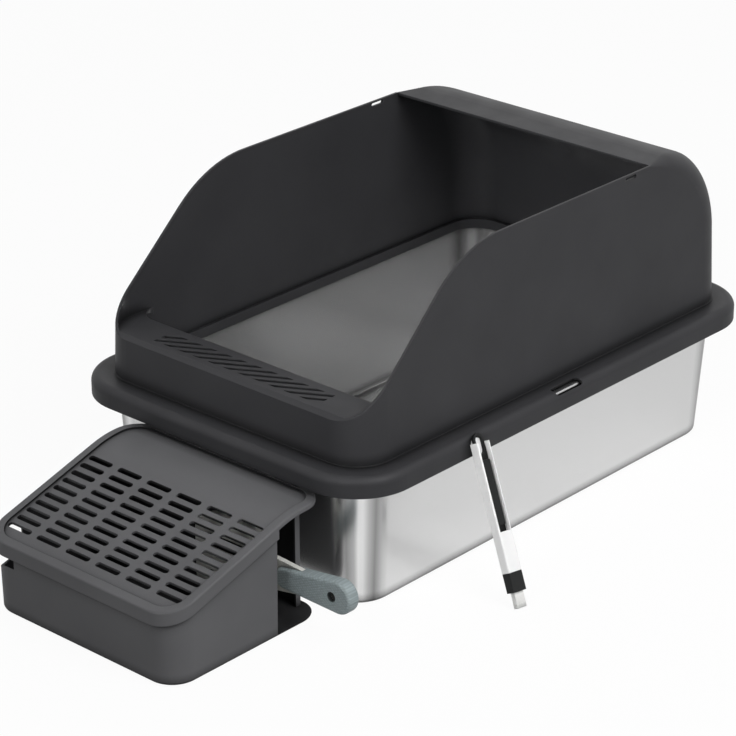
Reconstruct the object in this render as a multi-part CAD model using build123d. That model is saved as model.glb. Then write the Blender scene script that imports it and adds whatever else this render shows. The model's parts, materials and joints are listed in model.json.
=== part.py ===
"""Litter box: steel pan, rim frame and high wall, with an entry step, a scoop and a groove brush.

Millimetres. The origin is the centre of the pan's underside on the floor.
+X is the right-hand long side, +Y the back, -Y the entry and its step, +Z up.
"""
import os
from math import cos, radians, sin, tan

from build123d import *

# Steel pan, drawn from sheet
pan_x = 320.0
pan_y = 535.0
pan_height = 143.0
pan_corner = 36.0
pan_flare = 0.054  # outward lean of each wall, per unit of height
pan_base_round = 5.0
sheet = 1.0
flange_reach = 19.5
flange_drop = 5.0
flange_round = 2.4

# Rim frame, a moulded channel over the pan's flange
rim_wall = 2.6
rim_depth = 20.0
rim_round = 8.0
flange_gap = 2.5  # flange edge to the inside of the skirt
seat_gap = 0.3  # flat faces of separate mouldings
rib_width = 2.0
window_length = 39.0
window_width = 11.0
window_round = 3.0
window_tilt = 10.0  # degrees, about the rim's rounded edge
window_y = -4.0

# High wall, plugged into the rim frame by a drip tongue
wall = 2.6
wall_height = 174.0
wall_lean = 0.029
rim_lap = 3.6  # wall's foot on the rim frame
foot_height = 3.0
foot_lip = 1.0  # bead round the wall's foot
tongue_depth = 7.6
tongue_wall = 2.4
drip_gap = 1.1  # tongue to the inside of the pan
ledge_height = 46.0  # above the rim frame
ledge_depth = 46.0
ledge_round = 9.0
ledge_bay_round = 24.0
ramp_setback = 7.0
ramp_angle = 42.7
ramp_round = 130.0
ramp_foot_round = 60.0
hood_round = 100.0
hood_steps = 6
hood_core = 2.0  # filled core round the hood's axis
hood_relief = 0.05  # sides of the core, below the wall's faces
lip_flat = 28.0
lip_round = 12.0  # side edges where the hood levels out
lip_edge = 1.2  # side edges at the lip itself
top_slot_length = 17.0
top_slot_width = 3.6
top_slot_drop = 3.4  # below the wall's top edge
top_slot_y = 115.0

# Grille of slanting slots in the entry ledge
grille_width = 212.0
grille_depth = 23.0
grille_setback = 12.5  # from the wall's front face
grille_slot = 4.6
grille_pitch = 9.45
grille_angle = 29.0

# Entry step: an open box with a lid
step_mid_x = 18.6
step_tuck = 12.5  # lid's back edge, under the rim frame
step_under = 4.9  # lid's back, below the rim frame
lid_x = 245.0
lid_y = 200.0
lid_corner = 29.0
lid_fall = 46.0  # front edge, below the back
lid_slope = 16.6
lid_knee_round = 110.0
lid_border = 8.5
lid_recess = 2.2
lid_plate = 2.4
lid_edge_round = 2.0
skirt_depth = 13.5
skirt_wall = 2.0
lid_fit = 0.5
slot_length = 30.0
slot_width = 5.8
slot_pitch_x = 38.6
slot_pitch_y = 11.3
slot_columns = 6
slot_rows = 10
slot_front = 23.8  # lid's front edge to the first row's middle
box_wall = 2.4
box_lean = 0.012
box_base_round = 3.5
bay_width = 52.0  # scoop bay at the back of the box, open to the right
bay_inset = 12.7  # bay's back wall to the lid's back edge
bay_post = 6.0
bay_post_inset = 24.6  # from the box's right side
fence_height = 16.0
notch_round = 22.0
notch_reach = 36.0
notch_y = 20.0  # behind the box's front wall
notch_z = 61.0
foot_pad_round = 8.0
foot_pad_stand = 1.0
foot_pad_sink = 1.0
foot_pad_inset = 30.0

# Scoop, standing on edge in the bay
scoop_clear = 6.0  # head to the front of the bay
scoop_length = 80.0
scoop_headroom = 24.7  # head to the level part of the lid's underside
scoop_corner = 20.0
scoop_depth = 24.0
scoop_wall = 2.2
scoop_tip = 3.4  # depth at the open tip
scoop_flat = 30.0  # full-depth stretch at the handle end
scoop_inset = 30.0  # head's handle end to the box's right side
sieve_slot = 5.0
sieve_pitch = 9.4
sieve_length = 46.0
neck_length = 35.0  # from the grip's root
neck_root_width = 34.0
neck_end_width = 24.0
grip_start = 6.0  # from the head
grip_length = 93.0
grip_root_round = 10.5
grip_tip_round = 16.0
grip_core = 5.0
grip_cover = 4.6  # soft cover on the flats of the core
grip_rim = 1.6  # soft cover round the core's end
grip_edge_round = 3.4
grip_lift = 3.4  # degrees
hang_hole = 9.0
hang_hole_inset = 22.0
hang_hole_relief = 0.4  # soft cover, clear of the hole

# Groove brush in its dustpan sleeve, standing on its bristles and leaning on the rim frame
brush_lean = 26.4  # degrees
brush_slant = 7.5  # degrees
brush_y = -166.0
lean_gap = 0.3
sleeve_x = 10.0
sleeve_y = 17.0
sleeve_wall = 1.7
sleeve_round = 1.2
sleeve_shy = 3.6  # side walls, below the rest on the rim
sleeve_closed = 38.0
sleeve_back = 5.0  # back wall above the side walls
handle_fit = 0.3
handle_over = 9.0  # loop above the side walls
loop_bar = 2.6
loop_hole = 17.0
loop_width = 8.4
handle_rib_width = 9.0
handle_rib_depth = 3.2
handle_rib_gap = 6.0  # rib's ends to the closed stretch of the sleeve and to the loop's hole
ferrule_length = 18.2
ferrule_wall = 1.8
bristle_length = 15.4
bristle_seat = 4.0
bristle_backing = 3.0
bristle_round = 0.26
bristle_columns = 24
bristle_rows = 13

# Heights and outlines that follow from the sizes above
rim_top = pan_height + seat_gap + rim_wall
rim_low = rim_top - rim_depth
lid_back_z = rim_low - step_under
lid_front_z = lid_back_z - lid_fall
wall_top = rim_top + wall_height
ledge_z = rim_top + ledge_height
tongue_low = rim_top - tongue_depth
pan_top_x = pan_x + 2 * pan_flare * pan_height
pan_top_y = pan_y + 2 * pan_flare * pan_height
flange_x = pan_top_x + 2 * flange_reach
flange_y = pan_top_y + 2 * flange_reach
flange_corner = pan_corner + flange_reach
rim_grow = flange_gap + rim_wall
rim_x = flange_x + 2 * rim_grow
rim_y = flange_y + 2 * rim_grow
rim_corner = flange_corner + rim_grow
tongue_inset = sheet + drip_gap - pan_flare * tongue_low
tongue_x = pan_x - 2 * tongue_inset
tongue_y = pan_y - 2 * tongue_inset
tongue_corner = pan_corner - sheet - drip_gap
opening_x = tongue_x + 2 * seat_gap
opening_y = tongue_y + 2 * seat_gap
opening_corner = tongue_corner + seat_gap
wall_x = opening_x + 2 * rim_lap
wall_y = opening_y + 2 * rim_lap
wall_corner = opening_corner + rim_lap


def plan_block(x, y, corner, z_low, z_high, lean=0.0):
    """Rounded-rectangle block whose sides lean outwards by lean per unit of height."""
    spread = 2 * lean * (z_high - z_low)
    low = Pos(Z=z_low) * RectangleRounded(x, y, corner)
    high = Pos(Z=z_high) * RectangleRounded(x + spread, y + spread, corner)
    return loft([low, high], ruled=True)


def low_edges(solid):
    """Edges of a block's lowest face."""
    return solid.faces().sort_by(Axis.Z)[0].edges()


def high_edges(solid):
    """Edges of a block's highest face."""
    return solid.faces().sort_by(Axis.Z)[-1].edges()


def side_prism(face, width):
    """Prism across X, centred, from a face in Y and Z."""
    return extrude(Plane.YZ * face, amount=width / 2, both=True)


def steel_pan():
    """Drawn pan: flared walls, rounded base, and a flange with a turned-down edge."""
    outside = plan_block(pan_x, pan_y, pan_corner, 0, pan_height, pan_flare)
    outside = fillet(low_edges(outside), pan_base_round)
    inside_x = pan_x - 2 * sheet + 2 * pan_flare * sheet
    inside_y = pan_y - 2 * sheet + 2 * pan_flare * sheet
    inside = plan_block(inside_x, inside_y, pan_corner - sheet, sheet, pan_height + sheet, pan_flare)
    inside = fillet(low_edges(inside), pan_base_round - sheet)
    flange_low = pan_height - flange_drop
    flange = plan_block(flange_x, flange_y, flange_corner, flange_low, pan_height)
    flange = fillet(high_edges(flange), flange_round)
    under = plan_block(
        flange_x - 2 * sheet,
        flange_y - 2 * sheet,
        flange_corner - sheet,
        flange_low - sheet,
        pan_height - sheet,
    )
    under = fillet(high_edges(under), flange_round - sheet)
    return outside + (flange - under) - inside


def rim_frame():
    """Moulded channel: rounded top, outer skirt, centring ribs and a window in each long side."""
    shell = plan_block(rim_x, rim_y, rim_corner, rim_low, rim_top)
    shell = fillet(high_edges(shell), rim_round)
    hollow = plan_block(
        rim_x - 2 * rim_wall,
        rim_y - 2 * rim_wall,
        rim_corner - rim_wall,
        rim_low - rim_wall,
        rim_top - rim_wall,
    )
    hollow = fillet(high_edges(hollow), rim_round - rim_wall)
    opening = plan_block(opening_x, opening_y, opening_corner, rim_low, rim_top + rim_wall)
    frame = shell - hollow - opening
    rib_reach = flange_gap - seat_gap
    rib_height = rim_depth - rim_round - rim_wall
    rib_z = rim_low + rim_wall + rib_height / 2
    for side in (-1, 1):
        for place in (-1, 0, 1):
            rib_x = side * (flange_x / 2 + seat_gap + rib_reach / 2)
            frame += Pos(rib_x, place * pan_y / 3, rib_z) * Box(rib_reach, rib_width, rib_height)
        for place in (-1, 1):
            rib_y = side * (flange_y / 2 + seat_gap + rib_reach / 2)
            frame += Pos(place * pan_x / 3, rib_y, rib_z) * Box(rib_width, rib_reach, rib_height)
    for side in (-1, 1):
        edge = Pos(side * (rim_x / 2 - rim_round), window_y, rim_top - rim_round)
        window = extrude(RectangleRounded(window_width, window_length, window_round), amount=2 * rim_round)
        frame -= edge * Rot(Y=side * window_tilt) * window
    return frame


def wall_section(z, inset):
    """Half-sizes of the wall's plan at a height, drawn in by an inset."""
    drawn = wall_lean * (z - rim_top) + inset
    return wall_x / 2 - drawn, wall_y / 2 - drawn


def wall_block(inset, z_low, z_high):
    """Leaning block of the wall's plan between two heights."""
    half_x, half_y = wall_section(z_low, inset)
    return plan_block(2 * half_x, 2 * half_y, wall_corner - inset, z_low, z_high, -wall_lean)


hood_z = wall_top - hood_round
hood_y = wall_section(hood_z, 0)[1] - hood_round
lip_y = hood_y - lip_flat


def hood_section(turn, back_y, near, inset, corner):
    """Section of the hood, turned about an axis along X, with rounded far corners."""
    far = hood_round - inset
    near_half = wall_section(hood_z + near * sin(turn), inset)[0]
    far_half = wall_section(hood_z + far * sin(turn), inset)[0]
    outline = Polyline((-near_half, near), (near_half, near), (far_half, far), (-far_half, far), close=True)
    section = make_face(outline)
    section = fillet(section.vertices().group_by(Axis.Y)[-1], corner)
    return Plane((0, back_y, hood_z), x_dir=(1, 0, 0), z_dir=(0, -sin(turn), cos(turn))) * section


def hood(inset):
    """Quarter-round back of the wall and its level lip.

    The side corners shrink from the wall's corner radius at the back to a plain edge at the lip.
    """
    level = radians(90)
    level_round = lip_round - inset
    shrink = wall_corner - lip_round
    turned = []
    for step in range(hood_steps + 1):
        turn = level * step / hood_steps
        turned.append(hood_section(turn, hood_y, hood_core, inset, level_round + shrink * cos(turn)))
    lip = [
        hood_section(level, hood_y, 0, inset, level_round),
        hood_section(level, lip_y, 0, inset, lip_edge),
    ]
    core = upper_walls(inset + hood_relief, hood_y, hood_y + hood_core, hood_z + hood_core)
    return loft(turned) + loft(lip, ruled=True) + core


def upper_walls(inset, y_low, y_high, z_high):
    """Straight upper stretch of the wall, with leaning sides, from the hood's axis upwards."""
    low_half = wall_section(hood_z, inset)[0]
    high_half = wall_section(z_high, inset)[0]
    outline = Polyline(
        (-low_half, hood_z),
        (low_half, hood_z),
        (high_half, z_high),
        (-high_half, z_high),
        close=True,
    )
    section = Plane((0, y_high, 0), x_dir=(1, 0, 0), z_dir=(0, -1, 0)) * make_face(outline)
    return extrude(section, amount=y_high - y_low)


def high_wall():
    """Wall with a ramped entry, a slotted ledge, a hooded back and a drip tongue below."""
    front_y = -wall_section(ledge_z, 0)[1]
    corner_y = front_y + wall_corner
    outside = wall_block(0, rim_top, hood_z)
    outside += upper_walls(0, corner_y, lip_y, wall_top)
    outside += hood(0)
    foot_y = front_y + ramp_setback
    rise = tan(radians(ramp_angle))
    foot = (foot_y - ledge_round / rise, ledge_z - ledge_round)
    head = (foot_y + (wall_top - ledge_z) / rise, wall_top)
    side = make_face(Polyline(
        (-wall_y, rim_top), (-wall_y, foot[1]), foot, head, (wall_y, wall_top), (wall_y, rim_top), close=True
    ))
    side = fillet(side.vertices().sort_by_distance(foot)[0], ramp_foot_round)
    side = fillet(side.vertices().sort_by_distance(head)[0], ramp_round)
    outside &= side_prism(side, 2 * wall_x)
    ridge = wall_block(0, rim_top, ledge_z)
    outside += fillet(high_edges(ridge), ledge_round)

    below = wall_block(wall, rim_top, ledge_z - wall)
    below = fillet(high_edges(below), ledge_round - wall)
    inside = wall_block(wall, rim_top, hood_z)
    inside += upper_walls(wall, corner_y, lip_y, wall_top + wall)
    inside += hood(wall)
    ledge_edge = front_y + ledge_depth
    half_x = wall_section(ledge_z, wall)[0]
    bay = Rectangle(2 * half_x, wall_y, align=(Align.CENTER, Align.MIN))
    bay = fillet(bay.vertices().group_by(Axis.Y)[0], ledge_bay_round)
    bay_cut = extrude(Pos(0, ledge_edge, rim_top) * bay, amount=ledge_height)
    front_zone = Pos(0, front_y, rim_top + ledge_height / 2) * Box(
        2 * wall_x, 2 * (ledge_depth + ledge_bay_round), ledge_height
    )
    inside -= front_zone - bay_cut
    body = outside - below - inside

    sole = plan_block(wall_x, wall_y, wall_corner, rim_top, rim_top + foot_height)
    bead_corner = wall_corner + foot_lip
    bead = plan_block(wall_x + 2 * foot_lip, wall_y + 2 * foot_lip, bead_corner, rim_top, rim_top + foot_lip)
    tongue = plan_block(tongue_x, tongue_y, tongue_corner, tongue_low, rim_top + foot_height)
    throat = plan_block(
        tongue_x - 2 * tongue_wall,
        tongue_y - 2 * tongue_wall,
        tongue_corner - tongue_wall,
        tongue_low,
        rim_top + foot_height,
    )
    body += sole + bead - throat
    body += tongue - throat
    body -= grille(front_y)
    slot = Plane.YZ * SlotOverall(top_slot_length, top_slot_width)
    slot_z = wall_top - top_slot_drop
    body -= extrude(Pos(0, top_slot_y, slot_z) * slot, amount=wall_x, both=True)
    return body


def grille(front_y):
    """Cutter of the slanting slots, clipped to one rectangle on the ledge."""
    mid_y = front_y + grille_setback + grille_depth / 2
    step_x = grille_pitch / sin(radians(grille_angle))
    count = int((grille_width + grille_depth) / step_x)
    reach = 2 * grille_depth / sin(radians(grille_angle))
    slot = Rot(Z=grille_angle) * SlotOverall(reach, grille_slot)
    slots = Sketch() + GridLocations(step_x, 1, count, 1) * slot
    slots &= Rectangle(grille_width, grille_depth)
    return extrude(Pos(0, mid_y, ledge_z - wall) * slots, amount=wall, both=True)


# Places on the step
lid_back_y = -rim_y / 2 + step_tuck
lid_front_y = lid_back_y - lid_y
lid_place = Pos(step_mid_x, lid_back_y - lid_y / 2, 0)
lid_thick = lid_recess + lid_plate
box_floor = foot_pad_stand + box_wall
box_inset = skirt_wall + lid_fit
box_front_y = lid_front_y + box_inset
box_right_x = step_mid_x + lid_x / 2 - box_inset
box_left_x = step_mid_x - lid_x / 2 + box_inset
bay_wall_y = lid_back_y - bay_inset
bay_front_y = bay_wall_y - bay_width


def under_lid(drop):
    """Prism of everything below the lid's top line, lowered by drop.

    The line climbs from the front edge and bends level before the back edge.
    """
    rise = tan(radians(lid_slope))
    knee_y = lid_front_y + (lid_back_z - lid_front_z) / rise
    start = (lid_front_y - lid_y, lid_front_z - lid_y * rise - drop)
    end = (lid_back_y + lid_y, lid_back_z - drop)
    top = FilletPolyline(start, (knee_y, lid_back_z - drop), end, radius=lid_knee_round)
    ground = Polyline(end, (end[0], -lid_y), (start[0], -lid_y), start)
    return Pos(step_mid_x) * side_prism(make_face(top + ground), 2 * lid_x)


def lid_block(inset):
    """Tall upright block of the lid's plan, drawn in by an inset."""
    outline = RectangleRounded(lid_x - 2 * inset, lid_y - 2 * inset, lid_corner - inset)
    return lid_place * extrude(outline, amount=2 * lid_back_z)


def step_lid():
    """Sloping slotted lid: raised border, sunk tread, and a skirt round the box's front and sides."""
    lid = lid_block(0) & under_lid(0)
    top_edges = lid.faces().filter_by(lambda face: face.normal_at().Z > 0.5).edges()
    knees = top_edges.filter_by(Axis.X).filter_by_position(Axis.Y, lid_front_y, lid_back_y, (False, False))
    lid = fillet(top_edges - knees, lid_edge_round)
    lid -= lid_block(skirt_wall) & under_lid(lid_thick)
    lid -= under_lid(skirt_depth)
    flap = Pos(step_mid_x, bay_front_y + lid_y / 2, 0) * Box(2 * lid_x, lid_y, 4 * lid_back_z)
    lid -= flap & under_lid(lid_thick)
    lid -= lid_block(lid_border) - under_lid(lid_recess)
    rows_y = lid_front_y + slot_front + slot_pitch_y * (slot_rows - 1) / 2
    slots = GridLocations(slot_pitch_x, slot_pitch_y, slot_columns, slot_rows)
    cutters = extrude(Sketch() + slots * SlotOverall(slot_length, slot_width), amount=2 * lid_back_z)
    return lid - Pos(step_mid_x, rows_y, 0) * cutters


def box_block(inset, z_low):
    """Block of the step box's plan, leaning out towards the lid, drawn in by an inset."""
    drawn = 2 * (box_inset + inset + box_lean * (lid_back_z - z_low))
    corner = lid_corner - box_inset - inset
    return lid_place * plan_block(lid_x - drawn, lid_y - drawn, corner, z_low, lid_back_z, box_lean)


def step_base():
    """Open box: sloping top edge, a scoop bay open to the right, and a finger notch."""
    outside = fillet(low_edges(box_block(0, foot_pad_stand)), box_base_round)
    inside = fillet(low_edges(box_block(box_wall, box_floor)), box_base_round - box_wall)
    below = outside & under_lid(lid_thick + seat_gap)
    base = below - inside
    tall = 2 * lid_back_z
    opening = Box(lid_x, lid_y, tall, align=Align.MIN)
    base -= Pos(step_mid_x, bay_front_y, box_floor) * opening
    back_y = bay_wall_y + box_wall
    base -= Pos(step_mid_x - lid_x / 2, back_y, box_floor) * opening
    base -= Pos(step_mid_x, back_y, box_floor) * opening
    post_x = box_right_x - bay_post_inset
    back_wall = Pos(post_x, bay_wall_y, foot_pad_stand) * Box(
        lid_x, box_wall, tall, align=(Align.MAX, Align.MIN, Align.MIN)
    )
    post = Pos(post_x, back_y, foot_pad_stand) * Box(
        box_wall, bay_post, tall, align=(Align.MAX, Align.MAX, Align.MIN)
    )
    fence = Pos(step_mid_x, bay_front_y, foot_pad_stand) * Box(
        lid_x, box_wall, box_wall + fence_height, align=(Align.CENTER, Align.MAX, Align.MIN)
    )
    base += below & (back_wall + post + fence)
    notch = Pos(box_left_x + notch_reach, box_front_y + notch_y, notch_z) * Rot(Y=-90) * Cylinder(
        notch_round, 2 * notch_reach, align=(Align.CENTER, Align.CENTER, Align.MIN)
    )
    base -= notch
    sink = foot_pad_stand + foot_pad_sink + seat_gap
    for place in pad_places():
        base -= place * Cylinder(foot_pad_round + seat_gap, 2 * sink)
    return base


def pad_places():
    """Centres of the four foot pads, on the floor."""
    corners = GridLocations(lid_x - 2 * foot_pad_inset, lid_y - 2 * foot_pad_inset, 2, 2)
    return [lid_place * corner for corner in corners]


def step_feet():
    """Four pads, sunk into the box's underside."""
    height = foot_pad_stand + foot_pad_sink + seat_gap
    pad = Cylinder(foot_pad_round, height, align=(Align.CENTER, Align.CENTER, Align.MIN))
    return Compound(children=[place * pad for place in pad_places()])


# Places on the scoop
scoop_width = lid_back_z - lid_thick - scoop_headroom - box_floor - seat_gap
sieve_bars = int((scoop_width - 2 * scoop_wall) / sieve_pitch)
scoop_y = bay_front_y + scoop_clear + scoop_depth / 2
scoop_z = box_floor + seat_gap + scoop_width / 2
scoop_end_x = box_right_x - scoop_inset
scoop_place = Pos(scoop_end_x - scoop_length / 2, scoop_y, scoop_z)
grip_y = bay_wall_y - bay_width / 2
grip_root = Pos(scoop_end_x + grip_start, grip_y, scoop_z) * Rot(Y=-grip_lift)


def scoop_tray(inset):
    """Upright tray block of the head, drawn in by an inset, in the head's own place."""
    outline = RectangleRounded(scoop_length - 2 * inset, scoop_width - 2 * inset, scoop_corner - inset)
    return extrude(Plane.XZ * outline, amount=scoop_depth / 2, both=True)


def grip_outline(inset):
    """Handle's outline in X and Z, wider towards its round tip, drawn in by an inset."""
    root = Pos(grip_root_round) * Circle(grip_root_round - inset)
    tip = Pos(grip_length - grip_tip_round) * Circle(grip_tip_round - inset)
    return make_hull(root.edges() + tip.edges())


def handle_plate(outline, hole, depth):
    """Plate of the handle from an outline, with its hanging hole, centred on the handle's middle plane."""
    ring = Pos(grip_length - hang_hole_inset) * Circle(hole / 2)
    return grip_root * extrude(Plane.XZ * (outline - ring), amount=depth / 2, both=True)


def handle_core():
    """Flat neck and core of the handle."""
    neck_x = -grip_start - scoop_wall / 2
    neck = make_face(Polyline(
        (neck_x, -neck_root_width / 2),
        (neck_length, -neck_end_width / 2),
        (neck_length, neck_end_width / 2),
        (neck_x, neck_root_width / 2),
        close=True,
    ))
    return handle_plate(neck + grip_outline(grip_rim), hang_hole, grip_core)


def scoop_blade():
    """Sieve head on edge, open at its tip, with the flat neck and core of the handle."""
    half = scoop_depth / 2
    head = scoop_tray(0) - Pos(Y=scoop_wall) * scoop_tray(scoop_wall)
    tip = -scoop_length / 2
    rake = Polyline((tip, scoop_tip - half), (-tip - scoop_flat, half), (tip, half), close=True)
    head -= extrude(make_face(rake), amount=scoop_width, both=True)
    bars = GridLocations(1, sieve_pitch, 1, sieve_bars) * SlotOverall(sieve_length, sieve_slot)
    head -= Pos(Y=-half) * extrude(Plane.XZ * (Sketch() + bars), amount=2 * scoop_wall, both=True)
    return scoop_place * head + handle_core()


def scoop_grip():
    """Soft cover moulded round the handle's core."""
    depth = grip_core + 2 * grip_cover
    block = handle_plate(grip_outline(0), hang_hole + 2 * hang_hole_relief, depth)
    flats = block.faces().sort_by(Axis.Y)
    rims = flats[0].outer_wire().edges() + flats[-1].outer_wire().edges()
    return fillet(rims, grip_edge_round) - handle_core()


# Places on the brush, along its own axis from the bristle tips
lean_cos = cos(radians(brush_lean))
lean_sin = sin(radians(brush_lean))
slant_cos = cos(radians(brush_slant))
slant_sin = sin(radians(brush_slant))
pocket_x = sleeve_x - 2 * ferrule_wall
pocket_y = sleeve_y - 2 * ferrule_wall
foot_z = pocket_x / 2 * lean_sin + pocket_y / 2 * slant_sin * lean_cos
rest_x = rim_x / 2 - rim_round
rest_z = rim_top - rim_round
rest_reach = rim_round + lean_gap + sleeve_x / 2
rest_along = ((rest_z - foot_z) + rest_reach * lean_sin) / (slant_cos * lean_cos)
sleeve_low = bristle_length + ferrule_length + seat_gap
sleeve_high = rest_along - sleeve_shy
sleeve_inner_x = sleeve_x - 2 * sleeve_wall
sleeve_inner_y = sleeve_y - 2 * sleeve_wall
slot_low = sleeve_low + sleeve_closed
loop_top = sleeve_high + handle_over
handle_y = sleeve_inner_y - 2 * handle_fit
handle_depth = sleeve_inner_x - 2 * handle_fit - handle_rib_depth
handle_back_x = handle_fit - sleeve_inner_x / 2


def brush_place():
    """Place of the brush: lowest bristle corner on the floor, back face against the rim's rounding."""
    foot_x = rest_x + (rest_reach + (rest_z - foot_z) * lean_sin) / lean_cos
    return Pos(foot_x, brush_y, foot_z) * Rot(Y=-brush_lean) * Rot(X=-brush_slant)


def upright(x, y, z_low, z_high):
    """Bar along the brush's axis between two heights."""
    return Pos(Z=z_low) * Box(x, y, z_high - z_low, align=(Align.CENTER, Align.CENTER, Align.MIN))


def tongue_plate(x_low, x_high, width, z_low, z_high):
    """Plate along the brush's axis with a half-round upper end."""
    face = Rectangle(width, z_high - z_low - width / 2, align=(Align.CENTER, Align.MIN))
    face += Pos(0, z_high - z_low - width / 2) * Circle(width / 2)
    return Pos(x_low, 0, z_low) * extrude(Plane.YZ * face, amount=x_high - x_low)


def dustpan_sleeve():
    """Channel round the brush handle, closed at the foot, open in front above, with a taller back."""
    body = upright(sleeve_x, sleeve_y, sleeve_low, sleeve_high)
    body = fillet(body.edges().filter_by(Axis.Z), sleeve_round)
    body -= upright(sleeve_inner_x, sleeve_inner_y, sleeve_low, sleeve_high)
    body -= Pos(X=sleeve_x / 2) * upright(sleeve_x, sleeve_inner_y, slot_low, sleeve_high)
    back_x = -sleeve_x / 2
    body += tongue_plate(back_x, back_x + sleeve_wall, sleeve_inner_y, slot_low, sleeve_high + sleeve_back)
    return brush_place() * body


def brush_handle():
    """Bar with a hanging loop at the top and a raised rib in the sleeve's open front."""
    front_x = handle_back_x + handle_depth
    bar = tongue_plate(handle_back_x, front_x, handle_y, bristle_length + ferrule_length, loop_top)
    hole = Plane.YZ * (Rot(Z=90) * SlotOverall(loop_hole, loop_width))
    hole_low = loop_top - loop_bar - loop_hole
    bar -= Pos(0, 0, hole_low + loop_hole / 2) * extrude(hole, amount=sleeve_x, both=True)
    rib_length = hole_low - slot_low - 2 * handle_rib_gap
    rib = Plane.YZ * Rectangle(handle_rib_width, rib_length)
    bar += Pos(front_x, 0, (hole_low + slot_low) / 2) * extrude(rib, amount=handle_rib_depth)
    return brush_place() * bar


def brush_ferrule():
    """Block on the handle's foot, with a pocket for the bristles."""
    body = upright(sleeve_x, sleeve_y, bristle_length, bristle_length + ferrule_length)
    body = fillet(body.edges().filter_by(Axis.Z), sleeve_round)
    body -= upright(pocket_x, pocket_y, bristle_length, bristle_length + bristle_seat)
    return brush_place() * body


def brush_bristles():
    """Three-sided strands in rows, fused to the slice of backing in the ferrule's pocket."""
    spare = 2 * (handle_fit + bristle_round)
    pitch_x = (pocket_x - spare) / (bristle_rows - 1)
    pitch_y = (pocket_y - spare) / (bristle_columns - 1)
    seat_z = bristle_length + bristle_seat
    slice_x = pocket_x - 2 * handle_fit
    slice_y = pocket_y - 2 * handle_fit
    backing = upright(slice_x, slice_y, seat_z - bristle_backing, seat_z)
    strand = extrude(RegularPolygon(bristle_round, 3), amount=seat_z - bristle_backing / 2)
    strands = [place * strand for place in GridLocations(pitch_x, pitch_y, bristle_rows, bristle_columns)]
    return brush_place() * backing.fuse(*strands)


def node_shapes():
    """Every separate piece, by node name."""
    return {
        "steel_pan": steel_pan(),
        "rim_frame": rim_frame(),
        "high_wall": high_wall(),
        "step_base": step_base(),
        "step_lid": step_lid(),
        "step_feet": step_feet(),
        "scoop_blade": scoop_blade(),
        "scoop_grip": scoop_grip(),
        "dustpan_sleeve": dustpan_sleeve(),
        "brush_handle": brush_handle(),
        "brush_ferrule": brush_ferrule(),
        "brush_bristles": brush_bristles(),
    }


os.makedirs("parts", exist_ok=True)
for name, shape in node_shapes().items():
    export_step(shape, f"parts/{name}.step")
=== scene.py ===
"""Looks of the litter box: steel pan, charcoal shroud, grey step, scoop and groove brush.

Metres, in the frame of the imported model: +X the right-hand long side, +Y the back, +Z up.
"""
import json
import math

import bpy
import numpy as np
from mathutils import Matrix, Vector


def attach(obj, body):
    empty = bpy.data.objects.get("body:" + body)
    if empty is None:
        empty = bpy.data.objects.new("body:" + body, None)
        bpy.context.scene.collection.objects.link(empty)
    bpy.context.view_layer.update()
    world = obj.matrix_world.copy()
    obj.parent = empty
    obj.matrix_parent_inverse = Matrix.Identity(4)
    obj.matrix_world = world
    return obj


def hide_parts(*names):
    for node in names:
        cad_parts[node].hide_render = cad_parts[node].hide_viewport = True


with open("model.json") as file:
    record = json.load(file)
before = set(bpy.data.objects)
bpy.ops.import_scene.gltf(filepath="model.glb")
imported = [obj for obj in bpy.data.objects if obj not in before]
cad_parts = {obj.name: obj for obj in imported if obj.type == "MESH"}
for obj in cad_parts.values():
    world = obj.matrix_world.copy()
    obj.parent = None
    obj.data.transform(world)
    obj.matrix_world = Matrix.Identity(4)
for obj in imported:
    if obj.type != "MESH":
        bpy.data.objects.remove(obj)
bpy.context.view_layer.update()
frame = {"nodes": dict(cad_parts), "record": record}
nodes = frame["nodes"]
scene = bpy.context.scene
scene.view_settings.view_transform = "Standard"

MM = 0.001

# Camera, fitted to the box's own edges in the photograph
IMAGE_PX = 736
FOCAL_PX = 2958.4
SENSOR = 36.0
CAMERA_AT = Vector((1.7588, -2.0186, 1.3155))
AZIMUTH = math.radians(42.2)
ELEVATION = math.radians(24.3)
ROLL = math.radians(-0.2)

# Studio
WHITE = (1.0, 1.0, 1.0, 1.0)
SKY_LEVEL = 0.34
FLOOR_REACH = 6.0
FLOOR_DROP = 0.4 * MM  # under the part's feet
FLOOR_BOUNCE = 0.45  # tone in the light that the floor throws back
FLOOR_TONE = 0.75  # tone to the eye and in reflections
FLOOR_GLOW = 0.95  # share of the floor that is plain white to the eye; the rest takes the shadow
FLOOR_SHEEN = 0.3  # the same share in reflections, where the steel darkens towards the floor
LAMPS = (  # name, place, aim, size, watts and spread in degrees
    ("key_right", (1.9, -0.35, 2.0), (0.0, -0.05, 0.12), 1.5, 54, 180),
    ("fill_front", (-0.7, -2.4, 1.3), (0.0, -0.1, 0.12), 1.6, 3, 180),
    ("fill_inside", (0.3, -1.4, 1.0), (0.0, 0.25, 0.2), 0.4, 0.8, 40),
)

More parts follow.
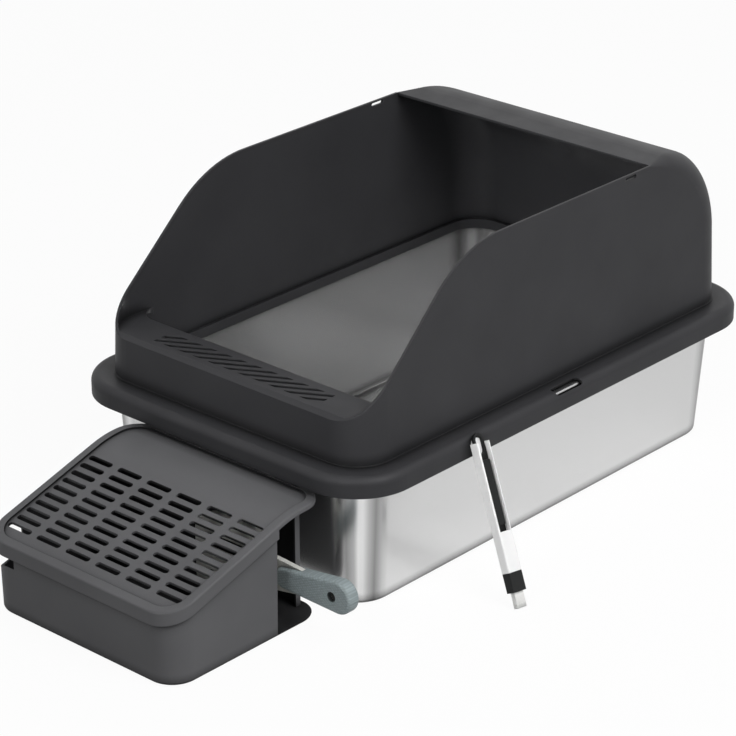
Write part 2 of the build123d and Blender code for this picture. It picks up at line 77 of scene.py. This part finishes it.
# Finishes
RAY_SAMPLES = 6  # of eased edges and recesses
NOISE_RANGE = (0.3, 0.7)  # in which most of a noise's values lie
NOISE_DETAIL = 3.0
GRAIN = 0.9 * MM  # of moulded plastic, coarser than real so that it shows
GRAIN_DEPTH = 0.04 * MM
GRAIN_STRENGTH = 0.1
TINT_PATCH = 90 * MM  # over which a moulding's colour drifts
SHEEN_PATCH = 30 * MM  # over which its roughness drifts
SHEEN_DRIFT = 0.04
# Painted shade on the step's inside, which shows through its slots
INSIDE_PAINTED_SHADE = 0.25  # brightness of the step's inside, which shows through its slots
INSIDE_BLEND = 4 * MM
# Painted shade: slots, gaps, holes and the steel near the floor darken in colour within this reach
RECESS = 13 * MM  # reach within which slots, gaps and holes go dark
RECESS_DEPTH = 2.0  # how steeply they do
STEEL_COLOUR = "#f4f4f4"
STEEL_ROUGH = 0.27
CORNER_MIDDLE = (124 * MM, 231 * MM)  # of the pan's corner rounding
# Painted reflection: the pan's corners get upright dark and bright bands in their colour
PAINTED_CORNER_REFLECTIONS = (
    (0.01, 0.79), (0.12, 0.66), (0.27, 0.34), (0.37, 0.6), (0.45, 0.95), (0.52, 1.0),
    (0.58, 0.6), (0.69, 0.42), (0.78, 0.75), (0.87, 1.0), (0.95, 0.8),
)  # brightness along the quarter turn from the long side to the short side
GRIP_COLOURS = ("#929d9f", "#9ba7a9")
GRIP_TINT_PATCH = 40 * MM
GRIP_SHEEN_PATCH = 12 * MM
GRIP_ROUGH = (0.5, 0.6)
GRIP_GLOSS = 0.3
GRIP_EDGE = 0.8 * MM
SCALE_PITCH = 3.2 * MM  # of the grip's moulded scales, coarser than real so that they show
SCALE_TURN = math.radians(35)
SCALE_SQUASH = 1.6
SCALE_UNEVEN = 0.25
SCALE_DEPTH = 0.7 * MM
# Painted shade in the gaps between the grip's scales
SCALE_GAP_SHADE = 0.35  # brightness between the scales

# Brush
STRAND_SEED = 7
STRAND_ROWS = 17
STRAND_COLUMNS = 34
STRAND_RINGS = 6
STRAND_SIDES = 4
STRAND_ROUND = 0.28 * MM
STRAND_TAPER = 0.4
STRAND_BEND = 0.35 * MM
STRAND_UNEVEN = 0.7 * MM


def linear(text):
    """Linear RGBA of an sRGB hex colour."""
    srgb = np.array([int(text[i:i + 2], 16) for i in (1, 3, 5)]) / 255
    rgb = np.where(srgb <= 0.04045, srgb / 12.92, ((srgb + 0.055) / 1.055) ** 2.4)
    return (*rgb.tolist(), 1.0)


def add(tree, kind, attrs, inputs):
    """Adds a node: attrs are its settings, and each input is a value to set or a socket to link."""
    made = tree.nodes.new(kind)
    for name, value in attrs.items():
        setattr(made, name, value)
    for name, value in inputs.items():
        if isinstance(value, bpy.types.NodeSocket):
            tree.links.new(value, made.inputs[name])
        else:
            made.inputs[name].default_value = value
    return made


def new_material(name):
    """Empty material with its shader; returns the material, its tree, the shader and Object coordinates."""
    material = bpy.data.materials.new(name)
    material.use_nodes = True
    tree = material.node_tree
    tree.nodes.clear()
    shader = add(tree, "ShaderNodeBsdfPrincipled", {}, {})
    add(tree, "ShaderNodeOutputMaterial", {}, {"Surface": shader.outputs["BSDF"]})
    place = add(tree, "ShaderNodeTexCoord", {}, {}).outputs["Object"]
    return material, tree, shader, place


def mottle(tree, place, size, low, high):
    """Soft noise of a grain size, stretched to low..high."""
    noise = add(tree, "ShaderNodeTexNoise", {}, {"Vector": place, "Scale": 1 / size, "Detail": NOISE_DETAIL})
    spread = add(tree, "ShaderNodeMapRange", {}, {
        "Value": noise.outputs["Fac"], "From Min": NOISE_RANGE[0], "From Max": NOISE_RANGE[1],
        "To Min": low, "To Max": high})
    return spread.outputs["Result"]


def tint(tree, place, size, dark, light):
    """Colour that drifts between two hex values over a patch size."""
    drift = mottle(tree, place, size, 0.0, 1.0)
    mix = add(tree, "ShaderNodeMix", {"data_type": "RGBA"}, {0: drift, 6: linear(dark), 7: linear(light)})
    return mix.outputs[2]


def scaled(tree, colour, share):
    """Colour times a share."""
    made = add(tree, "ShaderNodeVectorMath", {"operation": "SCALE"}, {0: colour, "Scale": share})
    return made.outputs["Vector"]


def paint_recess_shade(tree, colour):
    """Painted shade: colour that darkens in slots, gaps and holes, where little light gets in."""
    recess = add(tree, "ShaderNodeAmbientOcclusion", {"samples": RAY_SAMPLES}, {"Distance": RECESS})
    share = add(tree, "ShaderNodeMath", {"operation": "POWER"}, {0: recess.outputs["AO"], 1: RECESS_DEPTH})
    return scaled(tree, colour, share.outputs[0])


def shade_inside(tree, colour, middle):
    """Painted shade: colour that is darker on faces turned to the middle of a hollow piece, where little
    light gets in.
    """
    coords = add(tree, "ShaderNodeTexCoord", {}, {}).outputs
    off = add(tree, "ShaderNodeVectorMath", {"operation": "SUBTRACT"}, {0: coords["Object"], 1: middle})
    turned = add(tree, "ShaderNodeVectorMath", {"operation": "DOT_PRODUCT"}, {
        0: coords["Normal"], 1: off.outputs["Vector"]})
    share = add(tree, "ShaderNodeMapRange", {}, {
        "Value": turned.outputs["Value"], "From Min": -INSIDE_BLEND, "From Max": 0.0,
        "To Min": INSIDE_PAINTED_SHADE, "To Max": 1.0})
    return scaled(tree, colour, share.outputs["Result"])


def moulded(name, dark, light, *, rough, gloss, edge, depth=0.0, middle=None):
    """Injection-moulded plastic: spark-eroded grain gives a soft sheen, and edges are eased by the tool.

    The real grain is finer than a pixel, so it is drawn coarser to show. A pale plastic lets light in
    to a small depth, which keeps its shaded sides and its recesses pale; other plastics get painted shade
    in their recesses. A hollow piece gives its middle, and its faces turned to that middle get painted shade.
    """
    material, tree, shader, place = new_material(name)
    eased = add(tree, "ShaderNodeBevel", {"samples": RAY_SAMPLES}, {"Radius": edge})
    bump = add(tree, "ShaderNodeBump", {}, {
        "Strength": GRAIN_STRENGTH, "Distance": GRAIN_DEPTH, "Height": mottle(tree, place, GRAIN, 0.0, 1.0),
        "Normal": eased.outputs["Normal"]})
    sheen = mottle(tree, place, SHEEN_PATCH, rough - SHEEN_DRIFT, rough + SHEEN_DRIFT)
    colour = tint(tree, place, TINT_PATCH, dark, light)
    if middle:
        # Painted shade on the inside of a hollow piece
        colour = shade_inside(tree, colour, middle)
    if depth:
        shader.inputs["Subsurface Weight"].default_value = 1.0
        shader.inputs["Subsurface Radius"].default_value = (1.0, 1.0, 1.0)
        shader.inputs["Subsurface Scale"].default_value = depth
    else:
        # Painted shade in slots, gaps and holes
        colour = paint_recess_shade(tree, colour)
    tree.links.new(colour, shader.inputs["Base Color"])
    tree.links.new(sheen, shader.inputs["Roughness"])
    tree.links.new(bump.outputs["Normal"], shader.inputs["Normal"])
    shader.inputs["Specular IOR Level"].default_value = gloss
    return material


def drawn_steel():
    """Stainless sheet, deep-drawn and satin finished: broad soft reflections.

    Each corner carries upright dark and bright bands of painted reflection, and its recesses and its foot
    near the floor carry painted shade.
    """
    material, tree, shader, place = new_material("stainless_steel_satin")
    axes = add(tree, "ShaderNodeSeparateXYZ", {}, {0: place}).outputs
    past = []
    for axis, middle in zip("XY", CORNER_MIDDLE):
        reach = add(tree, "ShaderNodeMath", {"operation": "ABSOLUTE"}, {0: axes[axis]})
        beyond = add(tree, "ShaderNodeMath", {"operation": "SUBTRACT"}, {0: reach.outputs[0], 1: middle})
        into = add(tree, "ShaderNodeMath", {"operation": "MAXIMUM"}, {0: beyond.outputs[0], 1: 0.0})
        past.append(into.outputs[0])
    turn = add(tree, "ShaderNodeMath", {"operation": "ARCTAN2"}, {0: past[1], 1: past[0]})
    quarter = add(tree, "ShaderNodeMath", {"operation": "DIVIDE"}, {0: turn.outputs[0], 1: math.pi / 2})
    # Painted reflection: upright dark and bright bands around each corner
    bands = add(tree, "ShaderNodeValToRGB", {}, {0: quarter.outputs[0]})
    stops = bands.color_ramp.elements
    for at, tone in PAINTED_CORNER_REFLECTIONS:
        stops.new(at).color = (tone, tone, tone, 1.0)
    for spare in (0, -1):  # the two stops that a ramp starts with
        stops.remove(stops[spare])
    sheet = add(tree, "ShaderNodeVectorMath", {"operation": "MULTIPLY"}, {
        0: bands.outputs["Color"], 1: linear(STEEL_COLOUR)[:3]})
    # Painted shade in recesses and at the foot near the floor
    tree.links.new(paint_recess_shade(tree, sheet.outputs["Vector"]), shader.inputs["Base Color"])
    shader.inputs["Metallic"].default_value = 1.0
    shader.inputs["Roughness"].default_value = STEEL_ROUGH
    return material


def soft_grip():
    """Thermoplastic rubber, moulded with rows of small scales for a sure hold, matt and blue-grey; the gaps
    between the scales get painted shade.
    """
    material, tree, shader, place = new_material("thermoplastic_rubber_scales")
    turned = add(tree, "ShaderNodeMapping", {}, {
        "Vector": place, "Rotation": (0.0, SCALE_TURN, 0.0), "Scale": (1.0, 0.0, SCALE_SQUASH)})
    scales = add(tree, "ShaderNodeTexVoronoi", {"feature": "SMOOTH_F1"}, {
        "Vector": turned.outputs["Vector"], "Scale": 1 / SCALE_PITCH, "Randomness": SCALE_UNEVEN})
    eased = add(tree, "ShaderNodeBevel", {"samples": RAY_SAMPLES}, {"Radius": GRIP_EDGE})
    bump = add(tree, "ShaderNodeBump", {"invert": True}, {
        "Strength": 1.0, "Distance": SCALE_DEPTH, "Height": scales.outputs["Distance"],
        "Normal": eased.outputs["Normal"]})
    # Painted shade: the colour darkens towards the gaps between the scales
    groove = add(tree, "ShaderNodeMapRange", {}, {
        "Value": scales.outputs["Distance"], "To Min": 1.0, "To Max": SCALE_GAP_SHADE})
    shade = scaled(tree, tint(tree, place, GRIP_TINT_PATCH, *GRIP_COLOURS), groove.outputs["Result"])
    # Painted shade in the grip's hole and recesses
    tree.links.new(paint_recess_shade(tree, shade), shader.inputs["Base Color"])
    tree.links.new(mottle(tree, place, GRIP_SHEEN_PATCH, *GRIP_ROUGH), shader.inputs["Roughness"])
    tree.links.new(bump.outputs["Normal"], shader.inputs["Normal"])
    shader.inputs["Specular IOR Level"].default_value = GRIP_GLOSS
    return material


def rays(tree):
    """Two sockets: 1 for what the eye sees, and 1 for what a reflection or clear plastic shows."""
    ray = add(tree, "ShaderNodeLightPath", {}, {})
    mirrored = add(tree, "ShaderNodeMath", {"operation": "MAXIMUM"}, {
        0: ray.outputs["Is Glossy Ray"], 1: ray.outputs["Is Transmission Ray"]})
    return ray.outputs["Is Camera Ray"], mirrored.outputs[0]


def studio():
    """White to the eye and in reflections, a dimmer sky on the object."""
    world = bpy.data.worlds.new("studio")
    scene.world = world
    world.use_nodes = True
    tree = world.node_tree
    tree.nodes.clear()
    seen, mirrored = rays(tree)
    plain = add(tree, "ShaderNodeMath", {"operation": "MAXIMUM"}, {0: seen, 1: mirrored})
    level = add(tree, "ShaderNodeMapRange", {}, {
        "Value": plain.outputs[0], "To Min": SKY_LEVEL, "To Max": 1.0})
    light = add(tree, "ShaderNodeBackground", {}, {
        "Color": WHITE, "Strength": level.outputs["Result"]})
    add(tree, "ShaderNodeOutputWorld", {}, {"Surface": light.outputs["Background"]})


def lamp(name, at, aim, size, watts, spread):
    """Square soft light aimed at a point, over an angle in degrees."""
    data = bpy.data.lights.new(name, "AREA")
    data.shape = "SQUARE"
    data.size = size
    data.energy = watts
    data.spread = math.radians(spread)
    made = bpy.data.objects.new(name, data)
    made.location = at
    made.rotation_euler = (Vector(aim) - Vector(at)).to_track_quat("-Z", "Y").to_euler()
    scene.collection.objects.link(made)


def floor():
    """Pale floor that keeps a soft shadow."""
    mesh = bpy.data.meshes.new("floor")
    signs = ((-1, -1), (1, -1), (1, 1), (-1, 1))
    corners = [(x * FLOOR_REACH, y * FLOOR_REACH, -FLOOR_DROP) for x, y in signs]
    mesh.from_pydata(corners, [], [(0, 1, 2, 3)])
    made = bpy.data.objects.new("floor", mesh)
    scene.collection.objects.link(made)
    material = bpy.data.materials.new("floor_white")
    material.use_nodes = True
    tree = material.node_tree
    tree.nodes.clear()
    seen, mirrored = rays(tree)
    plain = add(tree, "ShaderNodeMath", {"operation": "MAXIMUM"}, {0: seen, 1: mirrored})
    tone = add(tree, "ShaderNodeMapRange", {}, {
        "Value": plain.outputs[0], "To Min": FLOOR_BOUNCE, "To Max": FLOOR_TONE})
    matt = add(tree, "ShaderNodeBsdfDiffuse", {}, {"Color": tone.outputs["Result"]})
    glow = add(tree, "ShaderNodeEmission", {}, {"Color": WHITE, "Strength": 1.0})
    sheen = add(tree, "ShaderNodeMath", {"operation": "MULTIPLY"}, {0: mirrored, 1: FLOOR_SHEEN})
    share = add(tree, "ShaderNodeMath", {"operation": "MULTIPLY_ADD"}, {
        0: seen, 1: FLOOR_GLOW, 2: sheen.outputs[0]})
    mix = add(tree, "ShaderNodeMixShader", {}, {
        0: share.outputs[0], 1: matt.outputs["BSDF"], 2: glow.outputs["Emission"]})
    add(tree, "ShaderNodeOutputMaterial", {}, {"Surface": mix.outputs["Shader"]})
    mesh.materials.append(material)


def camera():
    """Camera at the photograph's place and angle."""
    data = bpy.data.cameras.new("photo_camera")
    data.sensor_width = SENSOR
    data.lens = FOCAL_PX / IMAGE_PX * SENSOR
    data.clip_start = 0.1
    data.clip_end = 50
    made = bpy.data.objects.new("photo_camera", data)
    back = Vector((
        math.sin(AZIMUTH) * math.cos(ELEVATION),
        -math.cos(AZIMUTH) * math.cos(ELEVATION),
        math.sin(ELEVATION),
    ))
    turn = (-back).to_track_quat("-Z", "Y").to_matrix() @ Matrix.Rotation(ROLL, 3, "Z")
    made.matrix_world = Matrix.Translation(CAMERA_AT) @ turn.to_4x4()
    scene.collection.objects.link(made)
    scene.camera = made


def dress(name, material):
    """Gives a model node its finish."""
    slots = nodes[name].data.materials
    slots.clear()
    slots.append(material)


def middle_of(name):
    """Middle of a model node's box."""
    corners = np.array(nodes[name].bound_box)
    return tuple(((corners.min(0) + corners.max(0)) / 2).tolist())


def brush_axes():
    """Rows of the brush's own axes: across its depth, across its width, and up along it."""
    joints = frame["record"]["behaviour"]["joints"]
    draw = next(joint for joint in joints if joint["name"] == "dustpan_draw")
    along = np.array(draw["axis"])
    along /= np.linalg.norm(along)
    lean = math.atan2(-along[0], along[2])
    depth = np.array([math.cos(lean), 0.0, math.sin(lean)])
    return np.array([depth, np.cross(along, depth), along])


def strand_block():
    """Groove bristles: tapered strands on a grid, each a ring of sides carried along a slightly bent line.

    A strand's line runs from its root to its tip at t = 0..1, and leaves its upright by bend * t squared.
    Its radius falls by the taper to its tip. The block keeps within the space of the packed bristles.
    """
    source = nodes["brush_bristles"].data
    packed = np.empty(len(source.vertices) * 3)
    source.vertices.foreach_get("co", packed)
    axes = brush_axes()
    local = packed.reshape(-1, 3) @ axes.T
    low, high = local.min(0), local.max(0)
    draw = np.random.default_rng(STRAND_SEED)
    count = STRAND_ROWS * STRAND_COLUMNS
    margin = STRAND_ROUND + STRAND_BEND
    x, y = np.meshgrid(
        np.linspace(low[0] + margin, high[0] - margin, STRAND_ROWS),
        np.linspace(low[1] + margin, high[1] - margin, STRAND_COLUMNS),
        indexing="ij",
    )
    root = np.stack([x.ravel(), y.ravel(), np.full(count, high[2])], -1)
    t = np.linspace(0.0, 1.0, STRAND_RINGS)
    heading = draw.uniform(0, 2 * math.pi, count)
    bend = draw.uniform(0, STRAND_BEND, count)
    reach = high[2] - low[2] - draw.uniform(0, STRAND_UNEVEN, count)
    sway = np.stack([bend * np.cos(heading), bend * np.sin(heading)], -1)
    line = np.repeat(root[:, None], STRAND_RINGS, 1)
    line[..., :2] += sway[:, None] * (t ** 2)[None, :, None]
    line[..., 2] -= reach[:, None] * t[None]
    corner = 2 * math.pi * np.arange(STRAND_SIDES) / STRAND_SIDES
    ring = np.stack([np.cos(corner), np.sin(corner), np.zeros(STRAND_SIDES)], -1) * STRAND_ROUND
    points = line[:, :, None] + ring[None, None] * (1 - STRAND_TAPER * t)[None, :, None, None]
    index = np.arange(points[..., 0].size).reshape(count, STRAND_RINGS, STRAND_SIDES)
    over = np.roll(index, -1, axis=2)
    sides = np.stack([index[:, :-1], index[:, 1:], over[:, 1:], over[:, :-1]], -1).reshape(-1, 4)
    ends = np.concatenate([index[:, 0], index[:, -1, ::-1]])
    faces = np.concatenate([sides, ends])
    mesh = bpy.data.meshes.new("bristle_strands")
    mesh.from_pydata((points.reshape(-1, 3) @ axes).tolist(), [], faces.tolist())
    mesh.polygons.foreach_set("use_smooth", [True] * len(mesh.polygons))
    made = bpy.data.objects.new("bristle_strands", mesh)
    scene.collection.objects.link(made)
    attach(made, "brush")
    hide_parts("brush_bristles")
    return made


# Wall and rim: dark satin with broad, weak highlights
charcoal = moulded("polypropylene_charcoal", "#2e2e30", "#333335", rough=0.45, gloss=0.15, edge=1.2 * MM)
# Step: lighter and duller than the wall, with painted shade on its inside
grey = moulded(
    "polypropylene_grey", "#565658", "#5c5c5e",
    rough=0.5, gloss=0.13, edge=0.8 * MM, middle=middle_of("step_base"),
)
# Scoop: pale and satin, seen in patches through the slots of the step
cream = moulded("polypropylene_cream", "#c4c4be", "#cdcdc8", rough=0.4, gloss=0.3, edge=0.6 * MM)
# Dustpan sleeve: bright white gloss with pale shaded sides
white = moulded("abs_white_gloss", "#e6e6e6", "#ececec", rough=0.25, gloss=0.4, edge=0.4 * MM, depth=1.0 * MM)
# Brush handle and ferrule: plain black satin
black = moulded("abs_black", "#141415", "#191a1a", rough=0.4, gloss=0.2, edge=0.4 * MM)
# Pads under the step: matt black
rubber = moulded("rubber_black", "#161616", "#1c1c1c", rough=0.7, gloss=0.2, edge=0.4 * MM)
# Bristles: milky white strands
nylon = moulded("nylon_white", "#e4e4e2", "#ececea", rough=0.4, gloss=0.4, edge=0.05 * MM, depth=0.2 * MM)

dress("steel_pan", drawn_steel())
for name in ("rim_frame", "high_wall"):
    dress(name, charcoal)
for name in ("step_base", "step_lid"):
    dress(name, grey)
dress("step_feet", rubber)
dress("scoop_blade", cream)
dress("scoop_grip", soft_grip())
dress("dustpan_sleeve", white)
dress("brush_handle", black)
dress("brush_ferrule", black)
strand_block().data.materials.append(nylon)

studio()
for settings in LAMPS:
    lamp(*settings)
floor()
camera()
